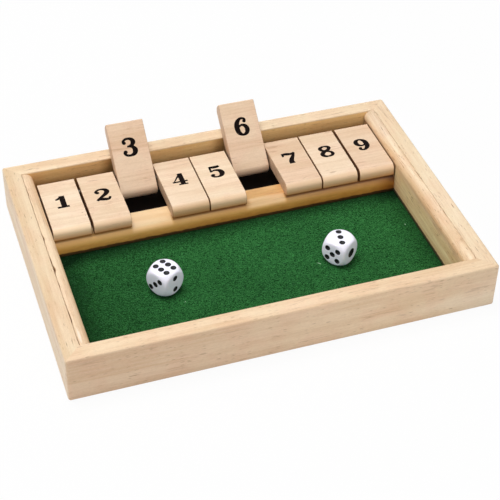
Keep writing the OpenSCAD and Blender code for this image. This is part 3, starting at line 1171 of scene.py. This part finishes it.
# Each number is drawn with pen strokes on a height of 1. A stroke is a line of points
# (x, y, half width), a dot is (x, y, radius) and a slab is a polygon.
NUMBERS = {
    1: {
        "strokes": [
            [(0.37, 0.98, 0.11), (0.36, 0.05, 0.11)],
            [(0.04, 0.72, 0.03), (0.15, 0.75, 0.05), (0.27, 0.84, 0.06), (0.36, 0.95, 0.05)],
        ],
        "slabs": [
            block(0.03, -0.02, 0.6, 0.12),
        ],
    },
    2: {
        "strokes": [
            [(0.15, 0.7, 0.06), (0.1, 0.8, 0.05), (0.21, 0.93, 0.045), (0.38, 0.965, 0.045),
             (0.56, 0.9, 0.08), (0.63, 0.74, 0.105), (0.55, 0.56, 0.095), (0.36, 0.38, 0.065),
             (0.18, 0.22, 0.05), (0.08, 0.1, 0.055)],
            [(0.03, 0.08, 0.05), (0.17, 0.15, 0.08), (0.32, 0.13, 0.095), (0.49, 0.085, 0.085),
             (0.63, 0.11, 0.055), (0.7, 0.27, 0.035)],
        ],
        "dots": [(0.165, 0.715, 0.1)],
    },
    3: {
        "strokes": [
            [(0.14, 0.74, 0.05), (0.12, 0.84, 0.045), (0.23, 0.94, 0.045), (0.38, 0.965, 0.045),
             (0.54, 0.9, 0.075), (0.6, 0.76, 0.1), (0.52, 0.6, 0.07), (0.36, 0.54, 0.035)],
            [(0.27, 0.535, 0.03), (0.39, 0.53, 0.035), (0.54, 0.48, 0.065), (0.63, 0.3, 0.11),
             (0.56, 0.11, 0.085), (0.38, 0.035, 0.045), (0.2, 0.06, 0.045), (0.09, 0.17, 0.045),
             (0.12, 0.26, 0.05)],
        ],
        "dots": [(0.155, 0.755, 0.095), (0.14, 0.25, 0.1)],
    },
    4: {
        "strokes": [
            [(0.49, 0.99, 0.105), (0.49, 0.05, 0.105)],
        ],
        "slabs": [
            block(0.26, 0.0, 0.72, 0.1),
            block(0.0, 0.235, 0.75, 0.345),
            [(0.0, 0.235), (0.11, 0.235), (0.12, 0.33), (0.48, 0.84), (0.59, 1.0), (0.44, 1.0)],
        ],
    },
    5: {
        "strokes": [
            [(0.14, 0.98, 0.035), (0.12, 0.5, 0.03)],
            [(0.12, 0.93, 0.055), (0.31, 0.895, 0.08), (0.48, 0.9, 0.08), (0.62, 0.955, 0.05)],
            [(0.12, 0.52, 0.03), (0.23, 0.6, 0.035), (0.38, 0.62, 0.055), (0.56, 0.53, 0.095),
             (0.62, 0.33, 0.115), (0.54, 0.12, 0.085), (0.36, 0.035, 0.045), (0.18, 0.07, 0.045),
             (0.09, 0.17, 0.045), (0.12, 0.25, 0.05)],
        ],
        "dots": [(0.15, 0.235, 0.1)],
    },
    6: {
        "strokes": [
            [(0.57, 0.8, 0.045), (0.56, 0.9, 0.045), (0.44, 0.96, 0.045), (0.31, 0.93, 0.06),
             (0.16, 0.74, 0.1), (0.11, 0.46, 0.11), (0.17, 0.18, 0.095), (0.36, 0.035, 0.045),
             (0.55, 0.12, 0.08), (0.61, 0.31, 0.1), (0.55, 0.5, 0.08), (0.39, 0.59, 0.045),
             (0.24, 0.53, 0.035), (0.16, 0.4, 0.03)],
        ],
        "dots": [(0.54, 0.79, 0.09)],
    },
    7: {
        "strokes": [
            [(0.06, 0.99, 0.035), (0.05, 0.7, 0.03)],
            [(0.05, 0.84, 0.035), (0.17, 0.91, 0.08), (0.32, 0.885, 0.09), (0.47, 0.865, 0.075),
             (0.6, 0.9, 0.05), (0.68, 0.98, 0.03)],
            [(0.66, 0.95, 0.04), (0.56, 0.7, 0.06), (0.43, 0.46, 0.09), (0.35, 0.24, 0.11),
             (0.35, 0.03, 0.125)],
        ],
    },
    8: {
        "strokes": [
            [(0.37, 0.955, 0.045), (0.56, 0.89, 0.07), (0.6, 0.76, 0.08), (0.51, 0.62, 0.07),
             (0.37, 0.54, 0.08), (0.19, 0.41, 0.09), (0.11, 0.25, 0.095), (0.19, 0.1, 0.075),
             (0.37, 0.045, 0.045), (0.57, 0.1, 0.06), (0.64, 0.25, 0.07), (0.58, 0.4, 0.06),
             (0.38, 0.52, 0.055), (0.2, 0.62, 0.07), (0.14, 0.76, 0.08), (0.2, 0.89, 0.065),
             (0.37, 0.955, 0.045)],
        ],
    },
    9: {
        "strokes": [
            [(0.17, 0.2, 0.045), (0.18, 0.1, 0.045), (0.3, 0.04, 0.045), (0.43, 0.07, 0.06),
             (0.58, 0.26, 0.1), (0.63, 0.54, 0.11), (0.57, 0.82, 0.095), (0.38, 0.965, 0.045),
             (0.19, 0.88, 0.08), (0.13, 0.69, 0.1), (0.19, 0.5, 0.08), (0.35, 0.41, 0.045),
             (0.5, 0.47, 0.035), (0.58, 0.6, 0.03)],
        ],
        "dots": [(0.2, 0.21, 0.09)],
    },
}


def pen_path(points, between=7):
    """A smooth line of (x, y, half width) through the points."""
    path = []
    last = len(points) - 1
    for i in range(last):
        p = [points[max(i - 1, 0)], points[i], points[i + 1], points[min(i + 2, last)]]
        for k in range(between):
            t = k / between
            path.append(tuple(
                0.5 * (2 * p[1][c] + (p[2][c] - p[0][c]) * t
                       + (2 * p[0][c] - 5 * p[1][c] + 4 * p[2][c] - p[3][c]) * t * t
                       + (3 * p[1][c] - p[0][c] - 3 * p[2][c] + p[3][c]) * t ** 3)
                for c in range(3)))
    path.append(points[-1])
    return path


def pen_patches(strokes=(), dots=(), slabs=()):
    """Small polygons that together cover a number."""
    patches = [list(slab) for slab in slabs]
    for x, y, radius in dots:
        turns = [2 * math.pi * k / DOT_SIDES for k in range(DOT_SIDES)]
        patches.append([(x + radius * math.cos(turn), y + radius * math.sin(turn))
                        for turn in turns])
    for stroke in strokes:
        path = pen_path(stroke)
        edges = []
        for i, (x, y, half) in enumerate(path):
            ahead = path[min(i + 1, len(path) - 1)]
            behind = path[max(i - 1, 0)]
            along = Vector((ahead[0] - behind[0], ahead[1] - behind[1])).normalized()
            half += SPREAD
            edges.append(((x - along.y * half, y + along.x * half),
                          (x + along.y * half, y - along.x * half)))
        for (a, b), (c, d) in zip(edges, edges[1:]):
            for corner in ([b, d, c], [b, c, a]):
                p, q, r = (Vector(point) for point in corner)
                area = (q - p).cross(r - p)
                if abs(area) > SPECK:
                    patches.append(corner if area > 0 else corner[::-1])
    return patches


def number_print(bm, n, width, height, ink, place):
    """Adds number n as one flat slip of ink; place(x, y, z) gives a point on the tile."""
    patches = pen_patches(**NUMBERS[n])
    corners = [Vector(point) for patch in patches for point in patch]
    faces, first = [], 0
    for patch in patches:
        faces.append(list(range(first, first + len(patch))))
        first += len(patch)
    points, _, triangles, _, _, owners = delaunay_2d_cdt(corners, [], faces, 0, MERGE)
    middle = (min(c.x for c in corners) + max(c.x for c in corners)) / 2
    kept = [tri for tri, owner in zip(triangles, owners) if owner]

    def layer(up):
        """All points of the slip at one height."""
        return [bm.verts.new(place((p.x - middle) * width, (p.y - 0.5) * height, up))
                for p in points]

    top, foot = layer(ink), layer(-ink)
    for tri in kept:
        bm.faces.new([top[i] for i in tri])
        bm.faces.new([foot[i] for i in reversed(tri)])
    edges = dict.fromkeys((tri[i], tri[(i + 1) % 3]) for tri in kept for i in range(3))
    for a, b in edges:
        if (b, a) not in edges:
            bm.faces.new((top[a], foot[a], foot[b], top[b]))
    loose = [vert for vert in top + foot if not vert.link_faces]
    bmesh.ops.delete(bm, geom=loose, context="VERTS")


class SHUTBOX_OT_numbers(bpy.types.Operator):
    """The number of each tile, on its top and on its underside"""

    bl_idname = "shutbox.numbers"
    bl_label = "Numbers"

    def execute(self, context):
        sizes = settings().sizes
        front, back, half = tile_shape()
        ink = number_ink()
        for n in TILES:
            node = f"tile_{n}"
            matrix = tile_turn(node)[1]
            aside, along = (shift * MM for shift in OFF_PLACE.get(n, (0, 0)))

            def on_top(x, y, z):
                return matrix @ Vector((x + aside, back - sizes.number_top + y + along, half + z))

            def underneath(x, y, z):
                return matrix @ Vector((x, front + sizes.number_under - y,
                                        sizes.tile_ease - half - z))

            def build(bm):
                for place in (on_top, underneath):
                    number_print(bm, n, sizes.number_width, sizes.number_height,
                                 sizes.ink, place)

            new_piece(f"{node}_number", build, node, [], ink)
        return {"FINISHED"}


# ------------------------------------------------------------------ dice

# Each die's turn about the upright in degrees, and the values on its top, left and front
THROWS = {"die_left": (31.4, 6, 3, 2), "die_right": (36.1, 3, 5, 1)}
# Cells along an edge of a die, and how sharply its cube and its ball meet
DIE_CELLS = 32
SHARPNESS = 26
# Rings and sides of the ball that cuts a pip, and its height over the pip's depth
PIP_RINGS, PIP_SIDES = 7, 32
CUT_ABOVE = 1.25
# Angle from which an edge of a finished die stays creased
PIP_CREASE = math.radians(32)


def pip_places(value, grid):
    """Centres of the pips of a face."""
    two, across, along = 1.15 * grid, 0.83 * grid, 1.2 * grid
    corners = [(-grid, -grid), (-grid, grid), (grid, -grid), (grid, grid)]
    return {
        1: [(0, 0)],
        2: [(0, two), (0, -two)],
        3: [corners[0], (0, 0), corners[3]],
        4: corners,
        5: corners + [(0, 0)],
        6: [(x, y) for x in (-across, across) for y in (-along, 0, along)],
    }[value]


def die_body(bm, half, ball):
    """A cube trimmed by a ball, with soft edges where the two meet."""
    cells = DIE_CELLS
    for axis in range(3):
        for side in (-1, 1):
            def point(i, j):
                """A point of one face, its cells equally wide seen from the middle."""
                u = math.tan((i / cells - 0.5) * math.pi / 2)
                v = math.tan((j / cells - 0.5) * math.pi / 2)
                way = Vector((0, 0, 0))
                way[axis], way[(axis + 1) % 3], way[(axis + 2) % 3] = side, u, v
                way.normalize()
                cube = half / max(abs(c) for c in way)
                return way * (cube ** -SHARPNESS + ball ** -SHARPNESS) ** (-1 / SHARPNESS)

            rows = [[bm.verts.new(point(i, j)) for i in range(cells + 1)]
                    for j in range(cells + 1)]
            for j in range(cells):
                for i in range(cells):
                    bm.faces.new((rows[j][i], rows[j][i + 1],
                                  rows[j + 1][i + 1], rows[j + 1][i]))


def pip_cutters(bm, half, sizes, top, left, front):
    """Balls that cut the pips of all six faces."""
    faces = {
        top: Matrix.Identity(3), 7 - top: Matrix.Rotation(math.pi, 3, "X"),
        front: Matrix.Rotation(math.pi / 2, 3, "X"),
        7 - front: Matrix.Rotation(-math.pi / 2, 3, "X"),
        left: Matrix.Rotation(-math.pi / 2, 3, "Z") @ Matrix.Rotation(math.pi / 2, 3, "X"),
        7 - left: Matrix.Rotation(math.pi / 2, 3, "Z") @ Matrix.Rotation(math.pi / 2, 3, "X"),
    }
    for value, turn in faces.items():
        radius = sizes.ace_radius if value == 1 else sizes.pip_radius
        deep = sizes.pip_depth
        ball = (radius ** 2 + deep ** 2) / (2 * deep)
        # Each cutter is a cap of the ball, from the bottom of the pip to just above the face
        reach = math.acos(1 - CUT_ABOVE * deep / ball)
        tilts = [reach * k / PIP_RINGS for k in range(1, PIP_RINGS + 1)]
        turns = [2 * math.pi * j / PIP_SIDES for j in range(PIP_SIDES)]
        for x, y in pip_places(value, sizes.pip_grid):
            centre = turn @ Vector((x, y, half + ball - deep))
            loops = loft(bm, [[centre + turn @ Vector((
                ball * math.sin(tilt) * math.cos(way), ball * math.sin(tilt) * math.sin(way),
                -ball * math.cos(tilt))) for way in turns] for tilt in tilts])
            bm.faces.new(loops[0])
            bm.faces.new(loops[-1])


class SHUTBOX_OT_dice(bpy.types.Operator):
    """Two dice with drilled pips"""

    bl_idname = "shutbox.dice"
    bl_label = "Dice"

    def execute(self, context):
        sizes = settings().sizes
        white, black = die_plastic(), pip_paint()
        for node, (degrees, top, left, front) in THROWS.items():
            low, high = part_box(node)
            half = (high.z - low.z) / 2
            centre = (low + high) / 2
            turn = Matrix.Translation(centre) @ Matrix.Rotation(math.radians(degrees), 4, "Z")

            def body(bm):
                die_body(bm, half, sizes.die_ball)
                bmesh.ops.transform(bm, matrix=turn, verts=bm.verts)

            def cutters(bm):
                pip_cutters(bm, half, sizes, top, left, front)
                bmesh.ops.transform(bm, matrix=turn, verts=bm.verts)

            die = new_piece(f"{node}_shaped", body, node, [node], white)
            tool = new_piece(f"{node}_cutter", cutters, node, [], black)
            die.modifiers.clear()
            cut = die.modifiers.new("pips", "BOOLEAN")
            cut.object = tool
            cut.solver = "EXACT"
            cut.material_mode = "TRANSFER"
            depsgraph = context.evaluated_depsgraph_get()
            mesh = bpy.data.meshes.new_from_object(die.evaluated_get(depsgraph))
            die.modifiers.clear()
            die.data = mesh
            mesh.shade_smooth()
            mesh.set_sharp_from_angle(angle=PIP_CREASE)
            bpy.data.objects.remove(tool)
        return {"FINISHED"}


# ------------------------------------------------------------------ stage

# Place and diameter of each softbox, in metres, in the order of the key, fill and side power
SOFTBOXES = {"key_light": ((-0.25, 0.25, 1.5), 0.7), "front_light": ((0.2, -1.5, 0.9), 1.2),
             "left_light": ((-1.6, 0.1, 0.55), 1.0)}
# Half width of the floor in metres, how far it lies below the box, the grey of its paper and
# how much plain white the camera, a mirror or glass sees instead
FLOOR_SIZE = 4.0
FLOOR_DROP = 0.1 * MM
PAPER = 0.82
PLAIN = 0.94


class SHUTBOX_OT_stage(bpy.types.Operator):
    """Floor, light and camera"""

    bl_idname = "shutbox.stage"
    bl_label = "Studio"

    def execute(self, context):
        studio = settings().studio
        self.floor()
        self.world(studio)
        powers = (studio.key, studio.fill, studio.side)
        for (name, (place, size)), power in zip(SOFTBOXES.items(), powers):
            self.softbox(name, Vector(place), size, power)
        self.camera(studio)
        return {"FINISHED"}

    @staticmethod
    def seen(nodes):
        """1 for what the camera, a mirror or glass shows of the surroundings."""
        most = nodes.node("ShaderNodeLightPath", output="Is Camera Ray")
        for name in ("Is Glossy Ray", "Is Transmission Ray"):
            ray = nodes.node("ShaderNodeLightPath", output=name)
            most = nodes.node("ShaderNodeMath", {"operation": "MAXIMUM"}, {0: most, 1: ray})
        return most

    def floor(self):
        """A wide floor that is plain white to the camera and paper to the light."""
        mesh = bpy.data.meshes.new("floor")
        bm = bmesh.new()
        bmesh.ops.create_grid(bm, x_segments=4, y_segments=4, size=FLOOR_SIZE)
        bm.to_mesh(mesh)
        bm.free()
        floor = bpy.data.objects.new("floor", mesh)
        bpy.context.scene.collection.objects.link(floor)
        floor.location.z = -FLOOR_DROP
        sh = Shader("floor_white")
        paper = sh.node("ShaderNodeBsdfDiffuse", {}, {"Color": (PAPER, PAPER, PAPER)})
        white = sh.node("ShaderNodeEmission", {}, {"Color": (1, 1, 1), "Strength": 1.0})
        mixed = sh.node("ShaderNodeMixShader", {},
                        {0: self.seen(sh) * PLAIN, 1: paper, 2: white})
        sh.node("ShaderNodeOutputMaterial", {}, {"Surface": mixed})
        mesh.materials.append(sh.material)

    def world(self, studio):
        """Plain white surroundings that light the box less than they show."""
        world = bpy.data.worlds.new("studio")
        bpy.context.scene.world = world
        world.use_nodes = True
        nodes = Nodes(world.node_tree)
        strength = self.seen(nodes) * (1 - studio.sky) + studio.sky
        light = nodes.node("ShaderNodeBackground", {}, {"Color": (1, 1, 1), "Strength": strength})
        nodes.node("ShaderNodeOutputWorld", {}, {"Surface": light})

    @staticmethod
    def softbox(name, place, size, power):
        """A round area light that faces the box."""
        light = bpy.data.lights.new(name, "AREA")
        light.shape = "DISK"
        light.size = size
        light.energy = power
        lamp = bpy.data.objects.new(name, light)
        lamp.location = place
        lamp.rotation_euler = (-place).to_track_quat("-Z", "Y").to_euler()
        bpy.context.scene.collection.objects.link(lamp)

    @staticmethod
    def camera(studio):
        """The camera at its place, turned and rolled as the settings say."""
        a, e, roll = studio.azimuth, studio.elevation, studio.roll
        back = Vector((math.sin(a) * math.cos(e), -math.cos(a) * math.cos(e), math.sin(e)))
        right = (-back).cross(Vector((0, 0, 1))).normalized()
        up = right.cross(-back)
        side = right * math.cos(roll) + up * math.sin(roll)
        head = up * math.cos(roll) - right * math.sin(roll)
        data = bpy.data.cameras.new("camera")
        data.sensor_width = 36.0
        data.lens = studio.lens
        data.shift_x, data.shift_y = studio.shift
        data.clip_start = 0.01
        camera = bpy.data.objects.new("camera", data)
        matrix = Matrix((side, head, back)).transposed().to_4x4()
        matrix.translation = Vector(studio.place)
        camera.matrix_world = matrix
        bpy.context.scene.collection.objects.link(camera)
        bpy.context.scene.camera = camera


# ------------------------------------------------------------------ panel and run

OPERATORS = (SHUTBOX_OT_frame, SHUTBOX_OT_strips, SHUTBOX_OT_rail, SHUTBOX_OT_hardware,
             SHUTBOX_OT_felt, SHUTBOX_OT_tiles, SHUTBOX_OT_numbers, SHUTBOX_OT_dice,
             SHUTBOX_OT_stage)


class SHUTBOX_PT_panel(bpy.types.Panel):
    """The game's pieces, in the sidebar"""

    bl_label = "Shut the Box"
    bl_idname = "SHUTBOX_PT_panel"
    bl_space_type = "VIEW_3D"
    bl_region_type = "UI"
    bl_category = "Shut the Box"

    def draw(self, context):
        """A button for each operator, then all settings."""
        for operator in OPERATORS:
            self.layout.operator(operator.bl_idname)
        for group in settings():
            column = self.layout.column()
            for name in group.bl_rna.properties.keys():
                if name not in ("rna_type", "name"):
                    column.prop(group, name)


GROUPS = {"shut_box_sizes": GameSizes, "shut_box_colours": GameColours,
          "shut_box_studio": StudioSettings}


def register():
    """Adds the classes and the settings to Blender."""
    for cls in (*GROUPS.values(), *OPERATORS, SHUTBOX_PT_panel):
        bpy.utils.register_class(cls)
    for name, group in GROUPS.items():
        setattr(bpy.types.Scene, name, PointerProperty(type=group))


def unregister():
    """Takes the settings and the classes out again."""
    for name in GROUPS:
        delattr(bpy.types.Scene, name)
    for cls in reversed((*GROUPS.values(), *OPERATORS, SHUTBOX_PT_panel)):
        bpy.utils.unregister_class(cls)


def main():
    """Builds the whole scene."""
    register()
    bpy.context.scene.view_settings.view_transform = "Standard"
    for operator in OPERATORS:
        group, name = operator.bl_idname.split(".")
        getattr(getattr(bpy.ops, group), name)()


if __name__ == "__main__":
    main()
